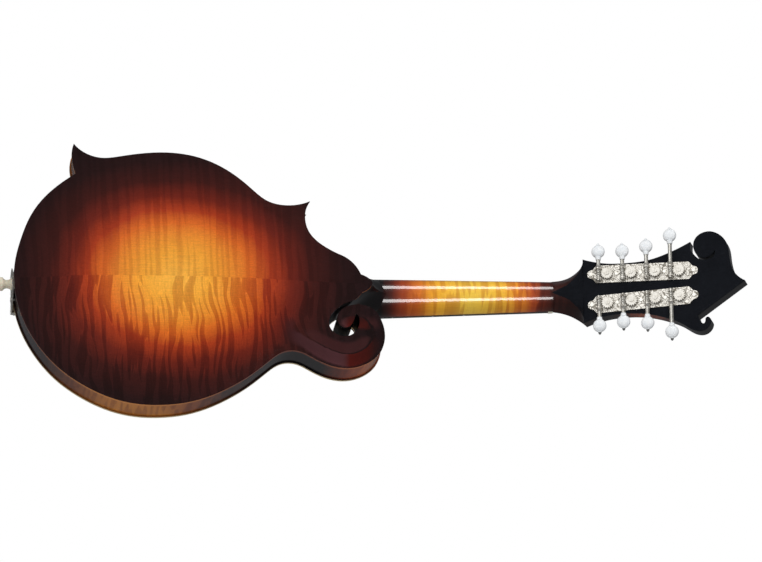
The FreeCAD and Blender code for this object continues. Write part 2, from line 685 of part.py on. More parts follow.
def make_strings():
    solids = []
    for (x_nut, x_saddle, x_tail, r), (px, ps) in zip(string_places(), string_order()):
        nut, saddle, hook = string_line(x_nut, x_saddle, x_tail, r)
        side = 1 if px < 0 else -1
        ring_n = -2.4
        end = head_at(px + side * (POST_R + 0.08 + r), ps, ring_n)
        pieces = [segment(nut, saddle, r), segment(saddle, hook, r), segment(nut, end, r),
                  Part.makeSphere(r, nut), Part.makeSphere(r, saddle), Part.makeSphere(r, end)]
        coil_r = POST_R + 0.06
        tall = max(1.6, 7 * r)
        coil = along_head(coil_r + 2 * r, px, ps, ring_n - 0.5 * tall, ring_n + 0.5 * tall)
        bore = along_head(coil_r, px, ps, ring_n - tall, ring_n + tall)
        loop = Part.makeTorus(LOOP_R, r, hook - V(0, 0, LOOP_R), V(0, 1, 0))
        whole = pieces[0].fuse(pieces[1:] + [coil, loop]).cut(bore)
        solids.append(largest(whole))
    return Part.makeCompound(solids)


# ---- bridge ---------------------------------------------------------------------
def make_bridge(top_outer):
    z0, z1 = BRIDGE_Z - 6.0, BRIDGE_Z + 6.0
    base_line = [V(-58, -24, z0), V(-58, -33.5, z0), V(-48, -36.5, z0), V(-40.5, BRIDGE_BASE_TOP, z0),
                 V(40.5, BRIDGE_BASE_TOP, z0), V(48, -36.5, z0), V(58, -33.5, z0), V(58, -24, z0)]
    base = polygon(base_line, V(0, 0, z1 - z0)).cut(top_outer)
    arch = Part.Arc(V(-24, -30, z0), V(0, -40.6, z0), V(24, -30, z0)).toShape()
    gap = prism([arch, Part.makeLine(V(24, -30, z0), V(-24, -30, z0))], V(0, 0, z1 - z0))
    base = base.cut(gap)
    wheels, posts = [], []
    wheel_top = BRIDGE_BASE_TOP - SADDLE_DROP - WHEEL_THICK
    for x in (-BRIDGE_POST_X, BRIDGE_POST_X):
        post = Part.makeCylinder(BRIDGE_POST_R, 12.4, V(x, BRIDGE_BASE_TOP + 4.4, BRIDGE_Z), V(0, -1, 0))
        base = base.cut(post)
        posts.append(post)
        wheel = Part.makeCylinder(WHEEL_R, WHEEL_THICK, V(x, wheel_top, BRIDGE_Z), V(0, 1, 0))
        for k in range(24):
            a = 2 * math.pi * k / 24
            groove = Part.makeCylinder(0.32, 3, V(x + WHEEL_R * math.cos(a), wheel_top - 0.5,
                                                  BRIDGE_Z + WHEEL_R * math.sin(a)), V(0, 1, 0))
            wheel = wheel.cut(groove)
        bore = Part.makeCylinder(BRIDGE_POST_R + 0.06, 4, V(x, wheel_top - 1, BRIDGE_Z), V(0, 1, 0))
        wheels.append(wheel.cut(bore))
    low = wheel_top
    crest = SADDLE_TOP + 0.12
    line = [V(-44, low, BRIDGE_Z - 3.6), V(-46, low - 2.6, BRIDGE_Z - 3.6), V(-38, low - 5.4, BRIDGE_Z - 3.6),
            V(-25, crest, BRIDGE_Z - 3.6), V(25, crest, BRIDGE_Z - 3.6), V(38, low - 5.4, BRIDGE_Z - 3.6),
            V(46, low - 2.6, BRIDGE_Z - 3.6), V(44, low, BRIDGE_Z - 3.6)]
    saddle = polygon(line, V(0, 0, 7.2))
    for side in (-1, 1):
        wedge = polygon([V(-60, low - 4, BRIDGE_Z + side * 3.7), V(-60, crest - 0.4, BRIDGE_Z + side * 3.7),
                         V(-60, crest - 0.4, BRIDGE_Z + side * 1.2)], V(120, 0, 0))
        saddle = saddle.cut(wedge)
    for x in (-BRIDGE_POST_X, BRIDGE_POST_X):
        hole = Part.makeCylinder(BRIDGE_POST_R + 0.08, 7.0, V(x, low + 1, BRIDGE_Z), V(0, -1, 0))
        saddle = saddle.cut(hole)
    return base, largest(saddle), Part.makeCompound(posts), wheels


# ---- tailpiece and strap button ---------------------------------------------------
def make_tailpiece():
    flange = polygon([V(-20, -28.5, TAIL_Z - 1.2), V(20, -28.5, TAIL_Z - 1.2), V(20, -14, TAIL_Z - 1.2),
                      V(10, 4, TAIL_Z - 1.2), V(6, 9, TAIL_Z - 1.2), V(-6, 9, TAIL_Z - 1.2),
                      V(-10, 4, TAIL_Z - 1.2), V(-20, -14, TAIL_Z - 1.2)], V(0, 0, 1.2))
    flange = flange.cut(Part.makeCylinder(PIN_SHANK_R, 8, V(0, 0, TAIL_Z - 4), V(0, 0, 1)))
    profile = [V(-17, -28.5, TAIL_Z - 1.2), V(-17, -36.4, 60), V(-17, -35.4, 60), V(-17, -27.3, TAIL_Z + 0.2),
               V(-17, -27.0, TAIL_Z)]
    deck = polygon(profile, V(34, 0, 0))
    base = flange.fuse(deck)
    for x_nut, x_saddle, x_tail, r in string_places():
        peg = Part.makeCylinder(LOOP_R - 0.65, 7.0, V(x_tail, -32.8, 42.0 - LOOP_R), V(0, -1, 0))
        base = base.fuse(peg)
    outer = [V(-19.5, -29.2, TAIL_Z - 1.2), V(-19.5, -37.3, TAIL_Z - 1.2), V(-19.5, -39.7, TAIL_Z + 1.2),
             V(-19.5, -48.5, 98), V(-19.5, -38.6, 98), V(-19.5, -33.8, 50), V(-19.5, -29.2, 22)]
    inner = [V(-18.7, -20.5, TAIL_Z - 0.4), V(-18.7, -36.9, TAIL_Z - 0.4), V(-18.7, -39.0, TAIL_Z + 1.6),
             V(-18.7, -47.8, 99), V(-18.7, -20.5, 99)]
    shell = polygon(outer, V(39, 0, 0))
    edges = [e for e in shell.Edges
             if e.BoundBox.XLength < 0.1 and e.BoundBox.YMax < -37 and e.BoundBox.YMin > -49]
    shell = shell.makeFillet(2.0, edges)
    room = polygon(inner, V(37.4, 0, 0))
    cover = shell.cut(room)
    return base, cover


def make_end_pin():
    head, waist = PIN_HEAD_R, 4.0
    outline = [V(0, 0, -2.9), V(head - 1.0, 0, -2.9), V(head, 0, -1.9), V(head, 0, 1.9), V(head - 1.4, 0, 2.9),
               V(waist + 0.2, 0, 4.4), V(waist, 0, 6.2), V(waist + 0.5, 0, 8.2), V(5.7, 0, 10.2),
               V(5.7, 0, TAIL_Z - 1.2), V(PIN_SHANK_R, 0, TAIL_Z - 1.2), V(PIN_SHANK_R, 0, 33), V(0, 0, 34)]
    wire = Part.makePolygon(outline + [outline[0]])
    return Part.Face(wire).revolve(V(0, 0, 0), V(0, 0, 1), 360)


# ---- tuning machines --------------------------------------------------------------
def gear_wire(x, s, n):
    points = []
    for k in range(GEAR_TEETH):
        for part, radius in ((-0.30, GEAR_ROOT), (-0.17, GEAR_TIP), (0.17, GEAR_TIP), (0.30, GEAR_ROOT)):
            a = 2 * math.pi * (k + part) / GEAR_TEETH
            points.append(head_at(x + radius * math.cos(a), s + radius * math.sin(a), n))
    return Part.makePolygon(points + [points[0]])


def make_post(x, s):
    depth = WORM_DEPTH - 0.5 * GEAR_THICK
    post = along_head(POST_R, x, s, -8.5, depth)
    hole = Part.makeCylinder(0.8, 12, head_at(x - 6, s, -6.4), V(1, 0, 0))
    post = post.cut(hole)
    gear = Part.Face(gear_wire(x, s, depth)).extrude(head_normal(GEAR_THICK))
    screw = along_head(2.1, x, s, depth + GEAR_THICK, depth + GEAR_THICK + 0.8)
    deep = depth + GEAR_THICK + 0.35
    slot = polygon([head_at(x - 3, s - 0.3, deep), head_at(x + 3, s - 0.3, deep),
                    head_at(x + 3, s + 0.3, deep), head_at(x - 3, s + 0.3, deep)], head_normal(2.0))
    return post.fuse([gear, screw]).cut(slot)


def make_worm(side, x, s, reach):
    """Worm and its shaft, from the inner lug out into the button."""
    line = s - WORM_OFFSET
    start = x - side * 6.2
    axis = V(side, 0, 0)
    shaft = Part.makeCylinder(SHAFT_R, side * (reach - start) - 3.0, head_at(start, line, WORM_DEPTH), axis)
    worm = Part.makeCylinder(WORM_R, 7.0, head_at(x - side * 3.5, line, WORM_DEPTH), axis)
    collar = Part.makeCone(2.7, 2.1, 2.0, head_at(x + side * 6.3, line, WORM_DEPTH), axis)
    tip = Part.makeCylinder(2.5, 0.8, head_at(start - side * 0.8, line, WORM_DEPTH), axis)
    return shaft.fuse([worm, collar, tip])


def make_button(side, s, reach):
    """Round flattened button with a small nipple at its outer end."""
    line = s - WORM_OFFSET
    centre = head_at(reach, line, WORM_DEPTH)
    high = BUTTON_HALF
    low_face = V(0, -high, 0.2 * BUTTON_R)
    top_face = V(0, high, 0.2 * BUTTON_R)
    rim = Part.Arc(V(0, -0.62 * high, 0.82 * BUTTON_R), V(0, 0, BUTTON_R),
                   V(0, 0.62 * high, 0.82 * BUTTON_R)).toShape()
    half = Part.Face(Part.Wire([
        Part.makeLine(V(0, -high, 0), low_face),
        Part.Arc(low_face, V(0, -0.9 * high, 0.52 * BUTTON_R), V(0, -0.62 * high, 0.82 * BUTTON_R)).toShape(),
        rim,
        Part.Arc(V(0, 0.62 * high, 0.82 * BUTTON_R), V(0, 0.9 * high, 0.52 * BUTTON_R), top_face).toShape(),
        Part.makeLine(top_face, V(0, high, 0)),
        Part.makeLine(V(0, high, 0), V(0, -high, 0))]))
    disc = half.revolve(V(0, 0, 0), V(0, 1, 0), 360)
    if disc.Volume < 0:
        disc.reverse()
    neck_in = Part.makeCone(2.4, 3.0, 3.2, V(-side * 8.4, 0, 0), V(side, 0, 0))
    nipple = Part.makeCone(2.0, 0.6, 2.2, V(side * 6.0, 0, 0), V(side, 0, 0))
    button = disc.fuse([neck_in, nipple])
    button.rotate(V(0, 0, 0), V(1, 0, 0), -HEAD_PITCH)
    button.translate(centre)
    start = head_at(reach - side * 12.0, line, WORM_DEPTH)
    return button.cut(Part.makeCylinder(SHAFT_R, 9.0, start, V(side, 0, 0)))


def head_block_of(x, s, half_x, half_s, n0, n1):
    """Square block on the headstock centred at x and s, between two depths."""
    corners = [head_at(x - half_x, s - half_s, n0), head_at(x + half_x, s - half_s, n0),
               head_at(x + half_x, s + half_s, n0), head_at(x - half_x, s + half_s, n0)]
    return polygon(corners, head_normal(n1 - n0))


def make_tuner_plate(side):
    """One plate for four machines with ogee ends, lugs for each worm."""
    last = TUNER_FIRST + 3 * TUNER_STEP
    n = OVERLAY_BACK
    thick = PLATE_BACK - OVERLAY_BACK
    lean = (ROWS[side][1] - ROWS[side][0]) / (3 * TUNER_STEP)

    def at(x, s):
        row = ROWS[side][0] + lean * (s - TUNER_FIRST)
        return head_at(side * (row + x), s, n)

    low, high = TUNER_FIRST - 10.4, last + 8.6
    half = 8.6
    ogee = ((half, 0), (half - 1.6, 2.0), (4.7, 4.0), (4.1, 5.6), (3.3, 7.6), (0, 9.2))
    end = list(ogee) + [(-x, out) for x, out in ogee[-2::-1]]
    right = [at(half, low), at(half, high)]
    up = [at(x, high + out) for x, out in end]
    down = [at(-x, low - out) for x, out in end]
    edges = [Part.makeLine(right[0], right[1]), smooth(up).toShape(),
             Part.makeLine(up[-1], down[0]), smooth(down).toShape()]
    plate = prism(edges, head_normal(thick))
    for own, i, x, s in post_places():
        if own != side:
            continue
        line = s - WORM_OFFSET
        for shift in (-5.0, 5.0):
            place = x + shift
            lug = head_block_of(place, line, 0.9, LUG_R, PLATE_BACK - 0.1, WORM_DEPTH)
            round_top = Part.makeCylinder(LUG_R, 1.8, head_at(place - 0.9, line, WORM_DEPTH), V(1, 0, 0))
            under = head_block_of(place, line, 2.0, 4.0, OVERLAY_BACK - 2, OVERLAY_BACK + 0.5)
            plate = plate.fuse(lug.fuse(round_top.cut(under)))
        plate = plate.cut(Part.makeCylinder(SHAFT_R + 0.06, 16, head_at(x - 8, line, WORM_DEPTH), V(1, 0, 0)))
        plate = plate.cut(along_head(POST_R + 0.08, x, s, n - 1, n + 4))
    screws = []
    for s in screw_places():
        screws.append(at(0, s))
    return plate.removeSplitter(), screws


def screw_places():
    last = TUNER_FIRST + 3 * TUNER_STEP
    return [TUNER_FIRST - 15.6, last + 13.6] + [TUNER_FIRST + TUNER_STEP * i + 8.9 for i in range(3)]


def wood_screw(place, axis, head_r, shank_r, length):
    """Round-headed wood screw: head outside, shank along -axis."""
    head = Part.makeCylinder(head_r, 0.9, place, axis)
    shank = Part.makeCylinder(shank_r, length, place, axis * -1)
    return head.fuse(shank)


def main():
    os.makedirs("parts", exist_ok=True)
    grid = arch_grid()
    edge = RIM_HALF - PLATE_EDGE
    back_outer = arch_solid(grid, RIM_HALF, BACK_ARCH, 1.0, 1)
    back_inner = arch_solid(grid, edge, BACK_ARCH - 0.6, 0.0, 1)
    top_outer = arch_solid(grid, RIM_HALF, TOP_ARCH, 1.0, -1)
    top_inner = arch_solid(grid, edge, TOP_ARCH - 0.2, 0.0, -1)

    back = plate_blank(back_edges(0), back_outer, back_inner, 1)
    top = plate_blank(rim_edges(0), top_outer, top_inner, -1)
    rim_prism = prism(rim_edges(0), V(0, 90, 0))
    rim_prism.translate(V(0, -45, 0))
    binding, top = make_binding(rim_prism, top)
    for side in (-1, 1):
        top = top.cut(sound_hole(side))
    back_treble, back_bass = halves(back)
    top_treble, top_bass = halves(top)

    lower, waist, upper, bass = make_ribs()
    inset = RIB_IN + RIB_THICK
    strips = rib_strips(-12.0, inset, -50, 50, 12.0)
    cutter = strips["tail"].fuse([strips["inner"], strips["waist"], strips["shoulder"], strips["bass"]])
    head_block, tail_block, point_blocks = make_blocks(rim_prism, cutter, top_inner, back_inner)
    linings = make_linings([head_block, tail_block, point_blocks])
    bars = make_tone_bars(top_inner)

    neck, overlay = make_neck(top_outer)
    neck, overlay, veneer, bushings = make_headstock_pieces(neck, overlay)
    neck, rod, rod_cover = make_truss_rod(neck)
    board, frets, dots = make_fingerboard()
    nut = make_nut()
    strings = make_strings()
    base, saddle, posts, wheels = make_bridge(top_outer)
    for string in strings.Solids:
        nut = nut.cut(string)
        saddle = saddle.cut(string)
    tail_base, tail_cover = make_tailpiece()
    for piece in (binding, top_treble, top_bass):
        tail_base = tail_base.cut(piece)
    end_pin = make_end_pin()

    screws = []
    for side, name in ((1, "treble"), (-1, "bass")):
        plate, places = make_tuner_plate(side)
        for place in places:
            place = place + head_normal(PLATE_BACK - OVERLAY_BACK)
            screw = wood_screw(place, head_normal(1.0), 1.7, 0.9, 8.0)
            plate = plate.cut(screw)
            overlay = overlay.cut(screw)
            neck = neck.cut(screw)
            screws.append(screw)
        save("tuner_plate_" + name, plate)
    for x, y in ((-10.5, -16.0), (10.5, -16.0), (0, -10.6)):
        screw = wood_screw(V(x, y, TAIL_Z - 1.2), V(0, 0, -1), 2.2, 1.2, 14.0)
        screws.append(screw)
        tail_base = tail_base.cut(screw)
        tail_block = tail_block.cut(screw)
        lower = lower.cut(screw)
        bass = bass.cut(screw)
    for s in (13.0, 33.0):
        screw = wood_screw(head_at(0, s, VENEER_FRONT - 1.6), head_normal(-1.0), 1.3, 0.8, 6.0)
        screws.append(screw)
        rod_cover = rod_cover.cut(screw)
        veneer = veneer.cut(screw)
        neck = neck.cut(screw)
    shank = Part.makeCylinder(PIN_SHANK_R, 12, V(0, 0, TAIL_Z - 1), V(0, 0, 1))
    lower = lower.cut(shank)
    bass = bass.cut(shank)

    save("back_plate_treble", back_treble)
    save("back_plate_bass", back_bass)
    save("top_plate_treble", top_treble)
    save("top_plate_bass", top_bass)
    save("top_binding", binding)
    save("rib_treble_lower", lower)
    save("rib_treble_waist", waist)
    save("rib_treble_upper", upper)
    save("rib_bass", bass)
    save("head_block", head_block)
    save("tail_block", tail_block)
    save("point_blocks", point_blocks)
    save("linings", linings)
    save("tone_bars", bars)
    save("neck", neck)
    save("headstock_front_veneer", veneer)
    save("headstock_back_overlay", overlay)
    save("truss_rod", rod)
    save("truss_rod_cover", rod_cover)
    save("fingerboard", board)
    save("frets", frets)
    save("position_dots", dots)
    save("nut", nut)
    save("bridge_base", base)
    save("bridge_saddle", saddle)
    save("bridge_posts", posts)
    save("thumbwheel_bass", wheels[0])
    save("thumbwheel_treble", wheels[1])
    save("tailpiece_base", tail_base)
    save("tailpiece_cover", tail_cover)
    save("end_pin", end_pin)
    save("strings", strings)
    save("post_bushings", bushings)
    save("wood_screws", Part.makeCompound(screws))
    for side, i, x, s in post_places():
        name = ("treble_" if side > 0 else "bass_") + str(i + 1)
        reach = side * (BUTTONS_TREBLE[i] if side > 0 else BUTTONS_BASS[i])
        save("string_post_" + name, make_post(x, s))
        save("worm_shaft_" + name, make_worm(side, x, s, reach))
        save("tuning_button_" + name, make_button(side, s, reach))


main()
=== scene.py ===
import math
import bpy
from mathutils import Matrix, Vector


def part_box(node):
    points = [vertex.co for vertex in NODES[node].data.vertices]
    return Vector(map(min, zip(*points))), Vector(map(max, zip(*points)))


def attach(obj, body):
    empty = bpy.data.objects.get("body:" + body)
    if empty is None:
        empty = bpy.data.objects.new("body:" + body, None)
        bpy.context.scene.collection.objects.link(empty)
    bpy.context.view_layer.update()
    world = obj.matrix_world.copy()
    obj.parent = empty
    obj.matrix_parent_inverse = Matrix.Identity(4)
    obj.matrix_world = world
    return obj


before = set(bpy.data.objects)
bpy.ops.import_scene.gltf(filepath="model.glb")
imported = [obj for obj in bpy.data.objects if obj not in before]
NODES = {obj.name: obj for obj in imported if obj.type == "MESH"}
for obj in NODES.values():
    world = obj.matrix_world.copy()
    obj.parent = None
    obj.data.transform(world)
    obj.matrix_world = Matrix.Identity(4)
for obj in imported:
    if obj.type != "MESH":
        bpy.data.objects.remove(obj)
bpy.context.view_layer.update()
scene = bpy.context.scene
COURSES = ["treble_1", "treble_2", "treble_3", "treble_4", "bass_1", "bass_2", "bass_3", "bass_4"]

# Ends of the colour ramps along Z, in metres up from the strap button's head.
BODY_END = 0.36
NECK_START = 0.34
HEAD_END = 0.68
# End of the sunburst's ramp, where 1 is its ellipse, and the power that rounds the ellipse.
BURST_END = 1.3
BURST_ROUNDNESS = 2.15

# Worm and gear of one tuning machine, in metres.
GEAR_RADIUS = 0.0053
GEAR_TEETH = 16
WORM_RADIUS = 0.00196
THREAD_RADIUS = 0.00233
THREAD_FOOT = 0.00062
THREAD_CREST = 0.00024
THREAD_TURNS = 3.1
STEPS_A_TURN = 28
TIP_SIDES = 20

FLOOR_HALF = 5.0
FLOOR_HEIGHT = -0.30

# The camera's three axes and its place, one row for each of X, Y and Z.
CAMERA_ROWS = Matrix((
    (-0.01211, 0.95583, -0.29367, -1.75384), (0.09849, 0.29341, 0.95090, 5.71041),
    (0.99506, -0.01741, -0.09769, -0.22437), (0.0, 0.0, 0.0, 1.0)))
CAMERA_LENS_MM = 297.64


def rgb(red, green, blue):
    """Linear colour from display values of 0 to 255."""
    linear = []
    for value in (red, green, blue):
        value = value / 255.0
        linear.append(value / 12.92 if value <= 0.04045 else ((value + 0.055) / 1.055) ** 2.4)
    return (linear[0], linear[1], linear[2], 1.0)


class Finish:
    """A principled material and short ways to add nodes to it."""

    def __init__(self, name, **constants):
        self.material = bpy.data.materials.new(name)
        self.material.use_nodes = True
        self.tree = self.material.node_tree
        self.shader = self.tree.nodes["Principled BSDF"]
        for key, value in constants.items():
            self.shader.inputs[key.replace("_", " ").title().replace("Ior", "IOR")].default_value = value

    def put(self, socket, value):
        if isinstance(value, bpy.types.NodeSocket):
            self.tree.links.new(value, socket)
        else:
            socket.default_value = value

    def place(self):
        return self.tree.nodes.new("ShaderNodeTexCoord").outputs["Object"]

    def normal(self):
        return self.tree.nodes.new("ShaderNodeNewGeometry").outputs["Normal"]

    def split(self, vector):
        node = self.tree.nodes.new("ShaderNodeSeparateXYZ")
        self.put(node.inputs[0], vector)
        return node.outputs[0], node.outputs[1], node.outputs[2]

    def join(self, x, y, z):
        node = self.tree.nodes.new("ShaderNodeCombineXYZ")
        for socket, value in zip(node.inputs, (x, y, z)):
            self.put(socket, value)
        return node.outputs[0]

    def math(self, operation, *values):
        node = self.tree.nodes.new("ShaderNodeMath")
        node.operation = operation
        for socket, value in zip(node.inputs, values):
            self.put(socket, value)
        return node.outputs[0]

    def plus(self, value, other):
        return self.math("ADD", value, other)

    def minus(self, value, other):
        return self.math("SUBTRACT", value, other)

    def times(self, value, other):
        return self.math("MULTIPLY", value, other)

    def stretched(self, vector, x_scale, y_scale, z_scale):
        """The place with each axis scaled on its own, for patterns that follow a grain."""
        x, y, z = self.split(vector)
        return self.join(self.times(x, x_scale), self.times(y, y_scale), self.times(z, z_scale))

    def span(self, value, low, high, to_low=0.0, to_high=1.0, kind="SMOOTHSTEP"):
        node = self.tree.nodes.new("ShaderNodeMapRange")
        node.interpolation_type = kind
        for name, amount in (("Value", value), ("From Min", low), ("From Max", high),
                             ("To Min", to_low), ("To Max", to_high)):
            self.put(node.inputs[name], amount)
        return node.outputs["Result"]

    def noise(self, vector, scale=1.0, detail=2.0, roughness=0.5, distortion=0.0):
        node = self.tree.nodes.new("ShaderNodeTexNoise")
        self.put(node.inputs["Vector"], vector)
        node.inputs["Scale"].default_value = scale
        node.inputs["Detail"].default_value = detail
        node.inputs["Roughness"].default_value = roughness
        node.inputs["Distortion"].default_value = distortion
        return node.outputs["Fac"]

    def voronoi(self, vector, scale, feature="F1"):
        node = self.tree.nodes.new("ShaderNodeTexVoronoi")
        node.feature = feature
        self.put(node.inputs["Vector"], vector)
        node.inputs["Scale"].default_value = scale
        return node.outputs["Distance"]

    def ramp(self, value, stops):
        node = self.tree.nodes.new("ShaderNodeValToRGB")
        self.put(node.inputs[0], value)
        band = node.color_ramp
        while len(band.elements) < len(stops):
            band.elements.new(0.5)
        for element, (position, colour) in zip(band.elements, stops):
            element.position = position
            element.color = colour
        return node.outputs[0]

    def mix(self, amount, first, second, blend="MIX"):
        node = self.tree.nodes.new("ShaderNodeMix")
        node.data_type = "RGBA"
        node.blend_type = blend
        self.put(node.inputs[0], amount)
        self.put(node.inputs[6], first)
        self.put(node.inputs[7], second)
        return node.outputs[2]

    def graded(self, value, low, high, stops):
        """A ramp whose stops are given at real positions between low and high."""
        part = self.math("DIVIDE", self.minus(value, low), high - low)
        return self.ramp(part, [((place - low) / (high - low), colour) for place, colour in stops])

    def tint(self, colour, factor):
        """A colour multiplied by another one."""
        return self.mix(1.0, colour, factor, "MULTIPLY")

    def shade(self, colour, light):
        """A colour made lighter or darker by one number."""
        return self.tint(colour, self.join(light, light, light))

    def bump(self, height, strength, distance, before=None):
        node = self.tree.nodes.new("ShaderNodeBump")
        self.put(node.inputs["Height"], height)
        node.inputs["Strength"].default_value = strength
        node.inputs["Distance"].default_value = distance
        if before is not None:
            self.put(node.inputs["Normal"], before)
        return node.outputs["Normal"]

    def use(self, name, value):
        self.put(self.shader.inputs[name], value)


# ---------------------------------------------------------------- wood finishes

def flames(f, along, across, pitch, length, wander, edge):
    """Curl of maple: bands across the grain with thin bright edges, from 0 dark to 1 bright."""
    bend_place = f.join(f.times(along, 24.0), f.times(across, 22.0), 0.3)
    bend = f.noise(bend_place, 1.0, 1.0, 0.5)
    place = f.plus(along, f.times(f.minus(bend, 0.5), wander))
    coarse_place = f.join(f.times(place, 1.0 / pitch), f.times(across, 1.0 / length), 0.0)
    coarse = f.noise(coarse_place, 1.0, 0.6, 0.4)
    fine_place = f.join(f.times(place, 2.6 / pitch), f.times(across, 1.7 / length), 4.0)
    fine = f.noise(fine_place, 1.0, 1.0, 0.5)
    band = f.span(coarse, 0.40, 0.60)
    step = f.span(coarse, 0.455, 0.525)
    rim = f.times(f.span(coarse, 0.485, 0.505), f.span(coarse, 0.535, 0.510))
    thread = f.times(f.span(fine, 0.50, 0.52), f.span(fine, 0.57, 0.53))
    both = f.plus(f.times(band, 0.42), f.times(step, 0.20))
    both = f.plus(both, f.times(fine, 0.34))
    bright = f.times(f.plus(f.times(rim, 0.34), f.times(thread, 0.16)), edge)
    return f.span(f.plus(both, bright), 0.02, 0.94, 0.0, 1.0, "LINEAR")


def pores(f, point):
    """Short fine lines along the grain."""
    return f.noise(f.stretched(point, 1500.0, 1500.0, 70.0), 1.0, 2.0, 0.6)


def burst(f, x, z, middle, low, high, half):
    """Distance from the bright middle, 1 at an ellipse of these half lengths."""
    dz = f.minus(z, middle)
    reach = f.span(dz, -0.012, 0.012, low, high)
    long_part = f.math("DIVIDE", dz, reach)
    wide_part = f.math("DIVIDE", x, half)
    powers = []
    for part in (long_part, wide_part):
        powers.append(f.math("POWER", f.math("ABSOLUTE", part), BURST_ROUNDNESS))
    return f.math("POWER", f.plus(powers[0], powers[1]), 1.0 / BURST_ROUNDNESS)


def lacquer_bump(f, point, pattern):
    """Slight waves of the lacquer, with the wood's pattern just telling through."""
    wave = f.noise(point, 55.0, 2.0, 0.5)
    fine = f.noise(point, 900.0, 1.0, 0.5)
    normal = f.bump(wave, 0.12, 0.0006)
    normal = f.bump(fine, 0.05, 0.00008, normal)
    return f.bump(pattern, 0.05, 0.0001, normal)


def back_finish():
    f = Finish("sunburst_back", roughness=0.45, coat_weight=1.0, coat_roughness=0.13, coat_ior=1.5,
               specular_ior_level=0.15)
    point = f.place()
    x, y, z = f.split(point)
    bass = f.span(x, 0.0003, -0.0003)
    wide = f.math("ABSOLUTE", x)
    straight = flames(f, f.plus(z, f.times(wide, 0.03)), x,
                      pitch=0.0050, length=0.120, wander=0.005, edge=0.5)
    straight = f.plus(0.28, f.times(straight, 0.50))
    lively = flames(f, f.plus(z, f.times(wide, -0.05)), f.plus(x, 3.0),
                    pitch=0.0048, length=0.052, wander=0.016, edge=1.15)
    curl = f.plus(f.times(straight, f.minus(1.0, bass)), f.times(lively, bass))
    soft = f.noise(point, 16.0, 2.0, 0.5)
    reach = burst(f, x, z, middle=0.166, low=0.146, high=0.152, half=0.117)
    reach = f.plus(reach, f.times(f.minus(soft, 0.5), 0.10))
    reach = f.plus(reach, f.times(f.minus(0.5, curl), 0.035))
    colour = f.graded(reach, 0.0, BURST_END, [
        (0.00, rgb(252, 178, 64)), (0.20, rgb(246, 162, 48)), (0.34, rgb(238, 140, 40)),
        (0.46, rgb(222, 104, 28)), (0.57, rgb(172, 56, 18)), (0.69, rgb(112, 31, 15)),
        (0.83, rgb(66, 20, 14)), (1.02, rgb(40, 15, 14)), (1.25, rgb(30, 12, 13))])
    dark = f.tint(colour, (0.70, 0.59, 0.50, 1.0))
    bright = f.tint(colour, (1.12, 1.22, 1.30, 1.0))
    colour = f.mix(curl, dark, bright)
    grain = f.span(pores(f, point), 0.3, 0.7, 0.88, 1.05, "LINEAR")
    mottle = f.span(f.noise(point, 700.0, 3.0, 0.7), 0.3, 0.7, 0.88, 1.10, "LINEAR")
    light = f.times(grain, mottle)
    colour = f.shade(colour, light)
    # Bevel round the scroll: painted reflection, its colour set by how far the surface leans across the
    # instrument.
    lean, upright, _ = f.split(f.normal())
    near = f.times(f.span(z, 0.262, 0.280), f.span(x, -0.030, -0.042))
    bevel_painted_reflection = f.times(near, f.span(lean, -0.05, -0.20))
    # Colours of the painted sheen along the bevel.
    painted_sheen = f.graded(z, 0.0, BODY_END, [
        (0.270, rgb(66, 30, 32)), (0.318, rgb(84, 46, 50)), (0.324, rgb(84, 44, 46)),
        (0.329, rgb(84, 14, 4)), (0.346, rgb(70, 12, 4)), (0.353, rgb(46, 15, 13))])
    colour = f.mix(f.times(bevel_painted_reflection, 0.9), colour, painted_sheen)
    # Painted reflection, a dim purple-brown, where the bevel leans the other way.
    inward_painted_reflection = f.times(f.times(near, f.span(lean, 0.05, 0.22)), 0.7)
    colour = f.mix(inward_painted_reflection, colour, rgb(66, 30, 30))
    # Amber edge of the plate, and painted shadow: the walls of the scroll's slot made nearly black.
    edge = f.times(f.span(upright, 0.62, 0.30), f.span(y, 0.0228, 0.0222))
    amber = f.graded(z, 0.0, BODY_END, [
        (0.03, rgb(120, 62, 34)), (0.10, rgb(226, 146, 66)), (0.16, rgb(222, 140, 66)),
        (0.23, rgb(150, 80, 46)), (0.30, rgb(120, 62, 40)), (0.345, rgb(206, 118, 62))])
    # Painted shadow in the scroll's slot.
    painted_slot_wall_shadow = f.times(f.span(z, 0.303, 0.308), f.span(upright, 0.75, 0.55))
    painted_slot_wall_shadow = f.times(painted_slot_wall_shadow, f.times(f.span(x, -0.012, -0.018), f.span(x, -0.062, -0.057)))
    painted_slot_wall_shadow = f.times(painted_slot_wall_shadow, f.span(z, 0.345, 0.340))
    colour = f.mix(edge, colour, amber)
    colour = f.mix(painted_slot_wall_shadow, colour, rgb(9, 6, 6))
    f.use("Base Color", colour)
    f.use("Normal", lacquer_bump(f, point, curl))
    return f.material


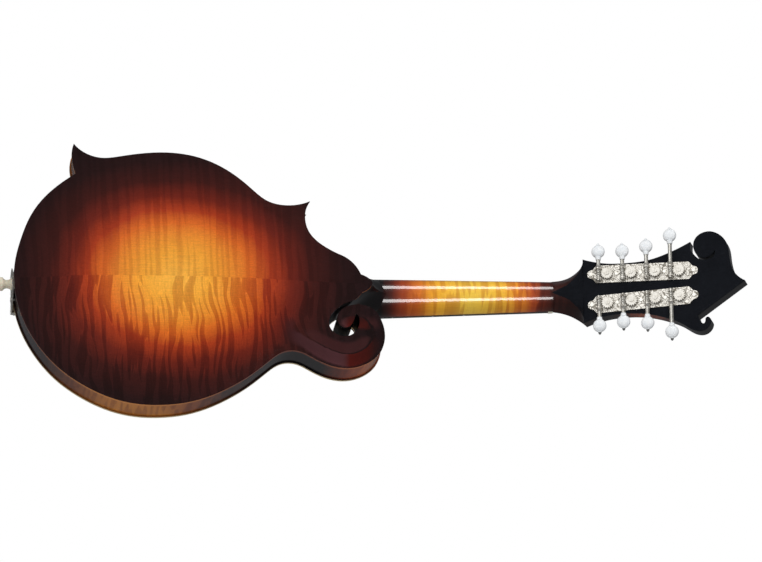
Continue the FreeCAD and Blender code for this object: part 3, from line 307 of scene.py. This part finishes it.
def rib_finish():
    f = Finish("sunburst_ribs", roughness=0.40, coat_weight=1.0, coat_roughness=0.07, coat_ior=1.5,
               specular_ior_level=0.25)
    point = f.place()
    x, y, z = f.split(point)
    run = f.plus(z, f.times(f.math("ABSOLUTE", x), 0.7))
    curl = flames(f, run, y, pitch=0.0056, length=0.060, wander=0.004, edge=0.5)
    shade = f.plus(z, f.times(f.minus(curl, 0.5), -0.004))
    colour = f.graded(shade, 0.0, BODY_END, [
        (0.010, rgb(44, 22, 18)), (0.040, rgb(54, 25, 18)), (0.070, rgb(132, 70, 30)),
        (0.104, rgb(206, 130, 48)), (0.150, rgb(206, 130, 50)), (0.180, rgb(158, 86, 44)),
        (0.212, rgb(78, 36, 22)), (0.262, rgb(24, 11, 10)), (0.304, rgb(20, 10, 9)),
        (0.328, rgb(132, 56, 30)), (0.343, rgb(196, 104, 58)), (0.354, rgb(206, 130, 88))])
    dark = f.tint(colour, (0.66, 0.55, 0.46, 1.0))
    bright = f.tint(colour, (1.10, 1.12, 1.12, 1.0))
    colour = f.mix(curl, dark, bright)
    grain = f.span(pores(f, point), 0.3, 0.7, 0.90, 1.04, "LINEAR")
    f.use("Base Color", f.shade(colour, grain))
    f.use("Normal", lacquer_bump(f, point, curl))
    return f.material


def top_finish():
    f = Finish("sunburst_top", roughness=0.44, coat_weight=1.0, coat_roughness=0.10, coat_ior=1.5,
               specular_ior_level=0.25)
    point = f.place()
    x, _, z = f.split(point)
    sway = f.noise(f.join(f.times(x, 18.0), 0.0, f.times(z, 7.0)), 1.0, 2.0, 0.5)
    across = f.plus(x, f.times(sway, 0.0035))
    width = f.noise(f.join(f.times(across, 40.0), 0.0, 0.0), 1.0, 1.0, 0.5)
    phase = f.times(f.plus(across, f.times(width, 0.004)), 5200.0)
    ring = f.plus(f.times(f.math("SINE", phase), 0.5), 0.5)
    line = f.math("POWER", ring, 3.0)
    fleck = f.noise(f.join(f.times(x, 90.0), 0.0, f.times(z, 420.0)), 1.0, 2.0, 0.5)
    soft = f.noise(point, 24.0, 3.0, 0.5)
    reach = burst(f, x, z, middle=0.160, low=0.150, high=0.168, half=0.126)
    reach = f.plus(reach, f.times(f.minus(soft, 0.5), 0.08))
    colour = f.graded(reach, 0.0, BURST_END, [
        (0.00, rgb(238, 176, 88)), (0.30, rgb(230, 158, 70)), (0.50, rgb(206, 112, 42)),
        (0.64, rgb(158, 64, 26)), (0.78, rgb(98, 34, 19)), (0.94, rgb(56, 22, 17)),
        (1.20, rgb(34, 15, 15))])
    colour = f.mix(f.times(line, 0.42), colour, f.tint(colour, (0.62, 0.46, 0.34, 1.0)))
    light = f.span(fleck, 0.35, 0.75, 0.95, 1.08, "LINEAR")
    colour = f.shade(colour, light)
    seam = f.span(f.math("ABSOLUTE", x), 0.00010, 0.00030, 0.75, 1.0)
    colour = f.shade(colour, seam)
    # Edge of the plate, where the surface no longer faces the front.
    side = f.span(f.split(f.normal())[1], -0.5, -0.2)
    amber = f.graded(z, 0.0, BODY_END, [
        (0.03, rgb(60, 28, 18)), (0.10, rgb(176, 108, 42)), (0.16, rgb(180, 110, 44)),
        (0.23, rgb(60, 28, 18)), (0.30, rgb(24, 12, 10)), (0.345, rgb(120, 56, 32))])
    colour = f.mix(side, colour, amber)
    f.use("Base Color", colour)
    f.use("Normal", lacquer_bump(f, point, line))
    return f.material


def neck_finish():
    f = Finish("sunburst_neck", roughness=0.38, coat_weight=1.0, coat_roughness=0.05, coat_ior=1.5,
               specular_ior_level=0.25)
    point = f.place()
    x, _, z = f.split(point)
    curl = flames(f, z, x, pitch=0.0052, length=0.040, wander=0.006, edge=0.8)
    shade = f.plus(z, f.times(f.minus(curl, 0.5), -0.003))
    colour = f.graded(shade, NECK_START, HEAD_END, [
        (0.364, rgb(12, 8, 9)), (0.373, rgb(84, 27, 14)), (0.384, rgb(170, 66, 22)),
        (0.399, rgb(226, 118, 28)), (0.414, rgb(254, 178, 42)), (0.446, rgb(255, 206, 74)),
        (0.476, rgb(255, 192, 58)), (0.494, rgb(244, 146, 36)), (0.506, rgb(186, 76, 26)),
        (0.519, rgb(90, 30, 14)), (0.530, rgb(58, 18, 11)), (0.552, rgb(40, 14, 10)),
        (0.580, rgb(16, 11, 12)), (0.594, rgb(70, 31, 18)), (0.606, rgb(150, 72, 36)),
        (0.622, rgb(128, 56, 30)), (0.640, rgb(34, 18, 16)), (0.656, rgb(15, 12, 14))])
    dark = f.tint(colour, (0.72, 0.55, 0.40, 1.0))
    bright = f.tint(colour, (1.04, 1.12, 1.12, 1.0))
    colour = f.mix(curl, dark, bright)
    grain = f.span(pores(f, point), 0.3, 0.7, 0.92, 1.03, "LINEAR")
    f.use("Base Color", f.shade(colour, grain))
    f.use("Normal", lacquer_bump(f, point, curl))
    return f.material


def plain_wood_finish():
    f = Finish("bare_wood", roughness=0.7)
    point = f.place()
    band = f.noise(f.stretched(point, 260.0, 260.0, 14.0), 1.0, 3.0, 0.55)
    stops = [(0.25, rgb(168, 130, 86)), (0.55, rgb(206, 170, 122)), (0.8, rgb(222, 190, 146))]
    f.use("Base Color", f.ramp(band, stops))
    f.use("Normal", f.bump(band, 0.25, 0.0002))
    return f.material


def black_finish(name, coat, roughness, base):
    """Black-dyed veneer under lacquer, with faint grain and wiping marks; the head block's near-black
    finish uses it as painted shadow.
    """
    f = Finish(name, roughness=roughness, coat_weight=coat, coat_roughness=0.16, coat_ior=1.45,
               specular_ior_level=0.10)
    point = f.place()
    grain = f.noise(f.stretched(point, 700.0, 700.0, 30.0), 1.0, 3.0, 0.6)
    patch = f.noise(point, 45.0, 3.0, 0.5)
    both = f.plus(f.times(grain, 0.5), f.times(patch, 0.5))
    lower = (base[0] * 0.72, base[1] * 0.72, base[2] * 0.72, 1.0)
    upper = (base[0] * 1.25, base[1] * 1.25, base[2] * 1.25, 1.0)
    f.use("Base Color", f.ramp(both, [(0.3, lower), (0.7, upper)]))
    f.use("Normal", f.bump(f.noise(point, 60.0, 2.0, 0.5), 0.08, 0.0005, f.bump(grain, 0.06, 0.00006)))
    return f.material


def ebony_finish():
    f = Finish("ebony", roughness=0.38, specular_ior_level=0.4)
    point = f.place()
    grain = f.noise(f.stretched(point, 1100.0, 1100.0, 45.0), 1.0, 4.0, 0.65)
    streak = f.noise(f.stretched(point, 130.0, 90.0, 9.0), 1.0, 2.0, 0.5)
    colour = f.ramp(streak, [(0.35, rgb(24, 19, 18)), (0.62, rgb(34, 26, 23)), (0.78, rgb(48, 35, 28))])
    dark = f.span(grain, 0.35, 0.62, 0.6, 1.05, "LINEAR")
    f.use("Base Color", f.shade(colour, dark))
    f.use("Roughness", f.span(grain, 0.3, 0.7, 0.5, 0.32, "LINEAR"))
    f.use("Normal", f.bump(grain, 0.2, 0.00008))
    return f.material


# ---------------------------------------------------------------- plastics, bone and pearl

def binding_finish():
    f = Finish("cream_binding", roughness=0.3, coat_weight=0.7, coat_roughness=0.08)
    point = f.place()
    cloud = f.noise(point, 60.0, 3.0, 0.5)
    f.use("Base Color", f.ramp(cloud, [(0.3, rgb(214, 190, 138)), (0.7, rgb(232, 212, 166))]))
    f.use("Normal", f.bump(f.noise(point, 500.0, 1.0, 0.5), 0.05, 0.0001))
    return f.material


def pearloid_finish():
    f = Finish("pearloid", roughness=0.26, coat_weight=0.8, coat_roughness=0.06, specular_ior_level=0.6,
               sheen_weight=0.2)
    point = f.place()
    warp = f.noise(point, 260.0, 2.0, 0.5, 1.6)
    cell = f.voronoi(point, 420.0, "SMOOTH_F1")
    both = f.plus(f.times(warp, 0.7), f.times(cell, 0.4))
    f.use("Base Color", f.ramp(both, [(0.25, rgb(236, 241, 246)), (0.50, rgb(246, 249, 251)),
                                      (0.75, rgb(252, 253, 253))]))
    f.use("Normal", f.bump(warp, 0.06, 0.0002))
    return f.material


def pearl_finish():
    f = Finish("pearl_dots", roughness=0.2, coat_weight=0.6, coat_roughness=0.05)
    point = f.place()
    band = f.noise(point, 380.0, 3.0, 0.5, 1.2)
    stops = [(0.3, rgb(206, 214, 214)), (0.5, rgb(238, 234, 230)), (0.72, rgb(226, 238, 232))]
    f.use("Base Color", f.ramp(band, stops))
    return f.material


def bone_finish():
    f = Finish("bone", roughness=0.36, subsurface_weight=0.12, subsurface_scale=0.002)
    point = f.place()
    fleck = f.noise(f.stretched(point, 160.0, 1400.0, 1400.0), 1.0, 3.0, 0.6)
    f.use("Base Color", f.ramp(fleck, [(0.3, rgb(224, 216, 196)), (0.62, rgb(240, 236, 222))]))
    f.use("Normal", f.bump(fleck, 0.1, 0.00006))
    return f.material


def ivory_finish():
    f = Finish("ivory_plastic", roughness=0.24, coat_weight=0.6, coat_roughness=0.06,
               subsurface_weight=0.08, subsurface_scale=0.002)
    point = f.place()
    band = f.noise(f.stretched(point, 90.0, 900.0, 90.0), 1.0, 2.0, 0.5)
    f.use("Base Color", f.ramp(band, [(0.3, rgb(222, 212, 186)), (0.7, rgb(238, 231, 211))]))
    f.use("Normal", f.bump(f.noise(point, 700.0, 1.0, 0.5), 0.05, 0.00008))
    return f.material


def black_plastic_finish():
    f = Finish("black_plastic", roughness=0.25, specular_ior_level=0.5)
    point = f.place()
    cloud = f.noise(point, 300.0, 2.0, 0.5)
    f.use("Base Color", f.ramp(cloud, [(0.3, rgb(14, 14, 15)), (0.7, rgb(26, 26, 27))]))
    f.use("Normal", f.bump(cloud, 0.05, 0.0001))
    return f.material


# ---------------------------------------------------------------- metals

def nickel_finish(name, tone, roughness, wear=0.25, metallic=0.75):
    """Plated metal with soft brushing, fine scratches and a little tarnish."""
    f = Finish(name, metallic=metallic, roughness=roughness)
    point = f.place()
    cloud = f.noise(point, 240.0, 4.0, 0.6)
    scratch = f.noise(f.stretched(point, 1.0, 9.0, 1.0), 2400.0, 2.0, 0.6)
    low = (tone[0] * (1.0 - wear), tone[1] * (1.0 - wear * 1.05), tone[2] * (1.0 - wear * 1.2), 1.0)
    f.use("Base Color", f.ramp(cloud, [(0.28, low), (0.52, tone), (0.8, tone)]))
    f.use("Roughness", f.span(scratch, 0.3, 0.75, roughness - 0.06, roughness + 0.12, "LINEAR"))
    f.use("Normal", f.bump(scratch, 0.08, 0.00003))
    return f.material


def engraved_finish():
    """Nickel plate cut with leaf scrolls: curling grooves, darker where they are deep."""
    f = Finish("engraved_nickel", metallic=0.45, roughness=0.36)
    point = f.place()
    x, _, z = f.split(point)
    warp = f.noise(point, 120.0, 1.0, 0.5)
    bent = f.join(f.plus(x, f.times(warp, 0.008)), 0.0,
                  f.plus(z, f.times(warp, -0.008)))
    cell = f.voronoi(bent, 170.0)
    curls = f.voronoi(bent, 170.0, "DISTANCE_TO_EDGE")
    rings = f.plus(f.times(f.math("SINE", f.times(cell, 22.0)), 0.5), 0.5)
    groove = f.times(f.span(curls, 0.012, 0.06), f.span(rings, 0.02, 0.26))
    colour = f.mix(groove, rgb(146, 139, 126), rgb(240, 236, 227))
    cloud = f.noise(point, 160.0, 3.0, 0.6)
    colour = f.mix(f.span(cloud, 0.4, 0.7, 0.0, 0.25), colour, rgb(206, 200, 186))
    f.use("Base Color", colour)
    f.use("Roughness", f.span(groove, 0.0, 1.0, 0.5, 0.30, "LINEAR"))
    f.use("Normal", f.bump(groove, 0.22, 0.00014))
    return f.material


def brass_finish():
    f = Finish("brass", metallic=1.0, roughness=0.3)
    point = f.place()
    cloud = f.noise(point, 200.0, 3.0, 0.6)
    f.use("Base Color", f.ramp(cloud, [(0.3, rgb(168, 128, 66)), (0.6, rgb(212, 174, 104))]))
    f.use("Normal", f.bump(f.noise(point, 1500.0, 2.0, 0.5), 0.1, 0.00004))
    return f.material


def string_finish():
    """Plain steel on the treble side, bronze winding on the four bass strings."""
    f = Finish("string_wire", metallic=1.0, roughness=0.28)
    point = f.place()
    x, _, z = f.split(point)
    bass = f.span(x, 0.0006, -0.0006)
    run = f.times(f.plus(z, f.times(x, 0.3)), 18000.0)
    turn = f.plus(f.times(f.math("SINE", run), 0.5), 0.5)
    cloud = f.noise(point, 120.0, 2.0, 0.5)
    steel = f.ramp(cloud, [(0.3, rgb(182, 182, 180)), (0.7, rgb(214, 214, 212))])
    # Bronze darker between the turns of the winding: painted shade in the grooves between the wraps.
    bronze = f.ramp(turn, [(0.0, rgb(120, 84, 52)), (0.6, rgb(206, 160, 108)), (1.0, rgb(226, 186, 136))])
    f.use("Base Color", f.mix(bass, steel, bronze))
    f.use("Normal", f.bump(f.times(turn, bass), 0.5, 0.00008))
    return f.material


# ---------------------------------------------------------------- which node takes which finish

back = back_finish()
ribs = rib_finish()
top = top_finish()
neck = neck_finish()
bare = plain_wood_finish()
satin_black = black_finish("satin_black_overlay", 0.12, 0.42, rgb(22, 24, 29))
gloss_black = black_finish("gloss_black_veneer", 1.0, 0.3, rgb(14, 13, 14))
# Painted shadow: the head block made nearly black, like the walls of the scroll's slot.
slot_shadow_black = black_finish("painted_slot_shadow", 0.2, 0.5, rgb(10, 8, 8))
ebony = ebony_finish()
cream = binding_finish()
pearloid = pearloid_finish()
pearl = pearl_finish()
bone = bone_finish()
ivory = ivory_finish()
black_plastic = black_plastic_finish()
nickel = nickel_finish("nickel_plate", rgb(236, 233, 224), 0.26)
gear_nickel = nickel_finish("gear_nickel", rgb(238, 234, 225), 0.34, 0.3, 0.5)
steel = nickel_finish("plain_steel", rgb(176, 176, 174), 0.34)
fret_metal = nickel_finish("fret_wire", rgb(222, 218, 208), 0.18, 0.12)
engraved = engraved_finish()
brass = brass_finish()
wire = string_finish()

FINISHES = {
    "back_plate_treble": back, "back_plate_bass": back, "top_plate_treble": top, "top_plate_bass": top,
    "top_binding": cream, "rib_treble_lower": ribs, "rib_treble_waist": ribs, "rib_treble_upper": ribs,
    "rib_bass": ribs, "head_block": slot_shadow_black, "tail_block": bare, "point_blocks": bare, "linings": bare,
    "tone_bars": bare, "neck": neck, "headstock_front_veneer": gloss_black,
    "headstock_back_overlay": satin_black, "truss_rod": steel, "truss_rod_cover": black_plastic,
    "fingerboard": ebony, "frets": fret_metal, "position_dots": pearl, "nut": bone, "bridge_base": ebony,
    "bridge_saddle": ebony, "bridge_posts": brass, "thumbwheel_bass": brass, "thumbwheel_treble": brass,
    "tailpiece_base": nickel, "tailpiece_cover": nickel, "end_pin": ivory, "strings": wire,
    "post_bushings": nickel, "wood_screws": nickel, "tuner_plate_bass": engraved,
    "tuner_plate_treble": engraved,
}
for name in COURSES:
    FINISHES["string_post_" + name] = gear_nickel
    FINISHES["worm_shaft_" + name] = nickel
    FINISHES["tuning_button_" + name] = pearloid
for name, thing in NODES.items():
    if not thing.material_slots:
        thing.data.materials.append(FINISHES[name])
    for place in thing.material_slots:
        place.material = FINISHES[name]


# ---------------------------------------------------------------- added detail

def new_piece(name, vertices, faces, material, body, smooth=True):
    mesh = bpy.data.meshes.new(name)
    mesh.from_pydata([tuple(v) for v in vertices], [], faces)
    mesh.validate()
    mesh.update()
    mesh.materials.append(material)
    if smooth:
        mesh.polygons.foreach_set("use_smooth", [True] * len(mesh.polygons))
    piece = bpy.data.objects.new(name, mesh)
    scene.collection.objects.link(piece)
    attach(piece, body)


def middle_of(node):
    low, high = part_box(node)
    return (Vector(low) + Vector(high)) / 2.0


def worm_thread(name):
    """Right-handed thread on one worm, with the same pitch as the teeth of its gear."""
    axis = middle_of("tuning_button_" + name)
    centre = middle_of("string_post_" + name).x
    pitch = 2.0 * math.pi * GEAR_RADIUS / GEAR_TEETH
    steps = int(THREAD_TURNS * STEPS_A_TURN)
    profile = [(-THREAD_FOOT, WORM_RADIUS), (-THREAD_CREST, THREAD_RADIUS),
               (THREAD_CREST, THREAD_RADIUS), (THREAD_FOOT, WORM_RADIUS)]
    vertices = []
    faces = []
    for k in range(steps + 1):
        angle = 2.0 * math.pi * THREAD_TURNS * k / steps
        start = centre + pitch * THREAD_TURNS * (k / steps - 0.5)
        fade = min(1.0, 6.0 * k / steps, 6.0 * (steps - k) / steps)
        for shift, radius in profile:
            r = WORM_RADIUS + (radius - WORM_RADIUS) * fade
            vertices.append((start + shift, axis.y + r * math.cos(angle), axis.z + r * math.sin(angle)))
        if k:
            for j in range(3):
                a = 4 * (k - 1) + j
                faces.append((a, a + 1, a + 5, a + 4))
    last = 4 * steps
    faces.append((0, 1, 2, 3))
    faces.append((last + 3, last + 2, last + 1, last))
    new_piece("worm_thread_" + name, vertices, faces, nickel, "knob_" + name,
              smooth=False)


def button_tip(name):
    """Small dark metal tip closing the outer end of a bass-side button."""
    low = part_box("tuning_button_" + name)[0]
    centre = middle_of("tuning_button_" + name)
    profile = [(0.0016, 0.0016), (0.0008, 0.00150), (0.0, 0.00105), (-0.0006, 0.00055), (-0.0008, 0.0)]
    vertices = []
    faces = []
    for shift, radius in profile[:-1]:
        for k in range(TIP_SIDES):
            a = 2.0 * math.pi * k / TIP_SIDES
            vertices.append((low[0] + shift, centre.y + radius * math.cos(a),
                             centre.z + radius * math.sin(a)))
    vertices.append((low[0] + profile[-1][0], centre.y, centre.z))
    for ring in range(len(profile) - 2):
        for k in range(TIP_SIDES):
            a = ring * TIP_SIDES + k
            b = ring * TIP_SIDES + (k + 1) % TIP_SIDES
            faces.append((a, b, b + TIP_SIDES, a + TIP_SIDES))
    start = (len(profile) - 2) * TIP_SIDES
    for k in range(TIP_SIDES):
        faces.append((start + k, start + (k + 1) % TIP_SIDES, len(vertices) - 1))
    faces.append(tuple(range(TIP_SIDES))[::-1])
    new_piece("button_tip_" + name, vertices, faces, steel, "knob_" + name)


for name in COURSES:
    worm_thread(name)
for name in COURSES:
    if name.startswith("bass"):
        button_tip(name)


# ---------------------------------------------------------------- floor, light and camera

def stage_floor():
    """Wide pale floor under the instrument, left out of what the lacquer reflects."""
    mesh = bpy.data.meshes.new("floor")
    signs = ((-1, -1), (1, -1), (1, 1), (-1, 1))
    corners = [(x * FLOOR_HALF, y * FLOOR_HALF, FLOOR_HEIGHT) for x, y in signs]
    mesh.from_pydata(corners, [], [(0, 1, 2, 3)])
    f = Finish("pale_floor", roughness=0.85)
    cloud = f.noise(f.place(), 3.0, 2.0, 0.5)
    f.use("Base Color", f.ramp(cloud, [(0.3, rgb(236, 236, 235)), (0.7, rgb(242, 242, 241))]))
    mesh.materials.append(f.material)
    thing = bpy.data.objects.new("floor", mesh)
    scene.collection.objects.link(thing)
    thing.visible_glossy = False


def area_light(name, place, aim, wide, high, watts, glossy=True, diffuse=True):
    """Soft box at a place, aimed at a point, its width square to the neck's direction."""
    data = bpy.data.lights.new(name, "AREA")
    data.shape = "RECTANGLE"
    data.size = wide
    data.size_y = high
    data.energy = watts
    thing = bpy.data.objects.new(name, data)
    scene.collection.objects.link(thing)
    back_axis = (Vector(place) - Vector(aim)).normalized()
    up = Vector((0.0, 0.0, 1.0))
    right = up.cross(back_axis).normalized()
    up = back_axis.cross(right)
    thing.matrix_world = Matrix((
        (right.x, up.x, back_axis.x, place[0]), (right.y, up.y, back_axis.y, place[1]),
        (right.z, up.z, back_axis.z, place[2]), (0.0, 0.0, 0.0, 1.0)))
    thing.visible_glossy = glossy
    thing.visible_diffuse = diffuse
    thing.visible_camera = False
    return thing


def background(tree, colour, strength):
    node = tree.nodes.new("ShaderNodeBackground")
    node.inputs[0].default_value = colour
    node.inputs[1].default_value = strength
    return node


def make_world():
    """White to the camera, soft grey to everything that the object reflects."""
    world = bpy.data.worlds.new("studio")
    scene.world = world
    world.use_nodes = True
    tree = world.node_tree
    tree.nodes.clear()
    out = tree.nodes.new("ShaderNodeOutputWorld")
    path = tree.nodes.new("ShaderNodeLightPath")
    seen = background(tree, (1.0, 1.0, 1.0, 1.0), 1.0)
    matte = background(tree, (0.96, 0.97, 1.0, 1.0), 0.26)
    gloss = background(tree, (0.95, 0.96, 1.0, 1.0), 0.09)
    first = tree.nodes.new("ShaderNodeMixShader")
    tree.links.new(path.outputs["Is Diffuse Ray"], first.inputs[0])
    tree.links.new(gloss.outputs[0], first.inputs[1])
    tree.links.new(matte.outputs[0], first.inputs[2])
    second = tree.nodes.new("ShaderNodeMixShader")
    tree.links.new(path.outputs["Is Camera Ray"], second.inputs[0])
    tree.links.new(first.outputs[0], second.inputs[1])
    tree.links.new(seen.outputs[0], second.inputs[2])
    tree.links.new(second.outputs[0], out.inputs[0])


def make_camera():
    data = bpy.data.cameras.new("camera")
    data.sensor_width = 36.0
    data.lens = CAMERA_LENS_MM
    data.clip_end = 50.0
    thing = bpy.data.objects.new("camera", data)
    scene.collection.objects.link(thing)
    thing.matrix_world = CAMERA_ROWS
    scene.camera = thing


def only_on(light, names):
    """Let a light reach these nodes alone."""
    group = bpy.data.collections.new(light.name + "_reach")
    for name in names:
        group.objects.link(NODES[name])
    light.light_linking.receiver_collection = group


stage_floor()
make_world()
make_camera()
area_light("main_soft", (1.6, 3.6, 0.9), (0.0, 0.0, 0.25), wide=2.4, high=2.4, watts=106.0, glossy=False)
high_streak = area_light("neck_streak_high", (2.44, 1.95, 0.29), (0.0, 0.0, 0.45),
                         wide=1.1, high=0.7, watts=26.0, diffuse=False)
low_streak = area_light("neck_streak_low", (-1.21, 2.88, 0.20), (0.0, 0.0, 0.45),
                        wide=1.0, high=0.7, watts=26.0, diffuse=False)
only_on(high_streak, ["neck"])
only_on(low_streak, ["neck"])
machines = area_light("machine_panel", (0.87, 2.5, -0.8), (0.0, 0.0, 0.62), wide=2.1, high=2.1, watts=24.0)
only_on(machines, ["tuner_plate_treble", "tuner_plate_bass", "wood_screws"]
        + ["string_post_" + name for name in COURSES] + ["worm_shaft_" + name for name in COURSES])
front = area_light("front_panel", (0.5, -2.6, 0.9), (0.0, 0.0, 0.3),
                   wide=1.6, high=2.6, watts=30.0, diffuse=False)
only_on(front, ["tailpiece_cover", "frets", "post_bushings", "strings", "position_dots", "nut",
                "fingerboard"])
area_light("front_soft", (1.2, -3.2, 1.6), (0.0, 0.0, 0.3), wide=2.2, high=2.2, watts=90.0, glossy=False)
area_light("front_fill", (-2.6, -2.2, 0.8), (0.0, 0.0, 0.3), wide=1.6, high=1.8, watts=30.0, glossy=False)
scene.view_settings.view_transform = "Standard"
